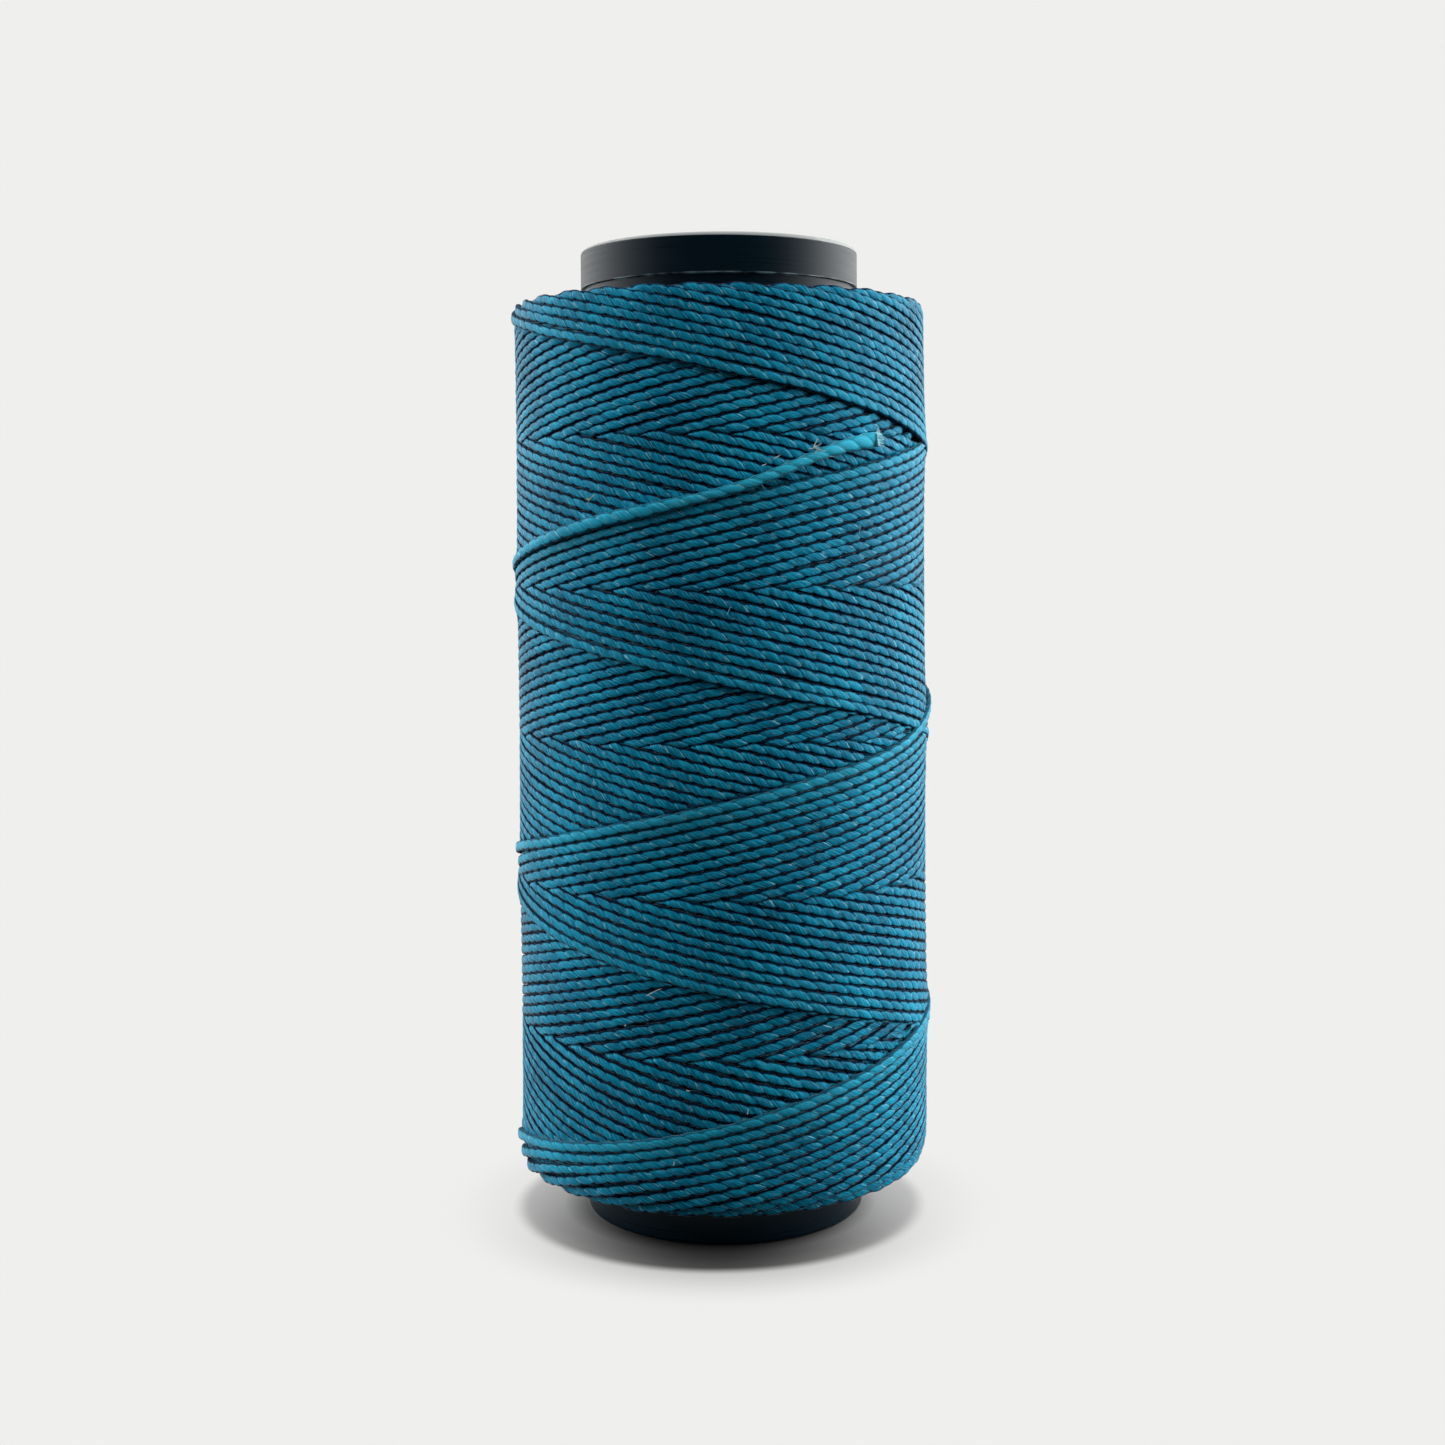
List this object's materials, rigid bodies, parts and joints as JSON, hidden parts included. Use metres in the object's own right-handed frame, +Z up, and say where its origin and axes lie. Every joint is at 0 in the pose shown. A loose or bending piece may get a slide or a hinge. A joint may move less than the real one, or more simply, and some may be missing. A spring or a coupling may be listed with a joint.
{
  "type": "waxed thread spool",
  "caption": "Cop of waxed twisted cord, cross-wound on a straight plastic tube with rounded collars and a through bore, with one loose thread end.",
  "frame": {"origin": "middle of the tube's foot, on the surface that the spool stands on", "axes": "+Z up along the bore, from the foot to the top rim; the loose thread end lies on the -Y side"},
  "size_m": [0.0513, 0.052, 0.12],
  "materials": {
    "tube_plastic": "moulded black plastic with a satin gloss",
    "waxed_thread": "twisted polyester cord, teal blue, with a soft sheen of wax"
  },
  "bodies": {
    "root": {"core_tube": "tube_plastic", "inner_winding": "waxed_thread", "outer_winding": "waxed_thread", "thread_tail": "waxed_thread"}
  },
  "joints": []
}
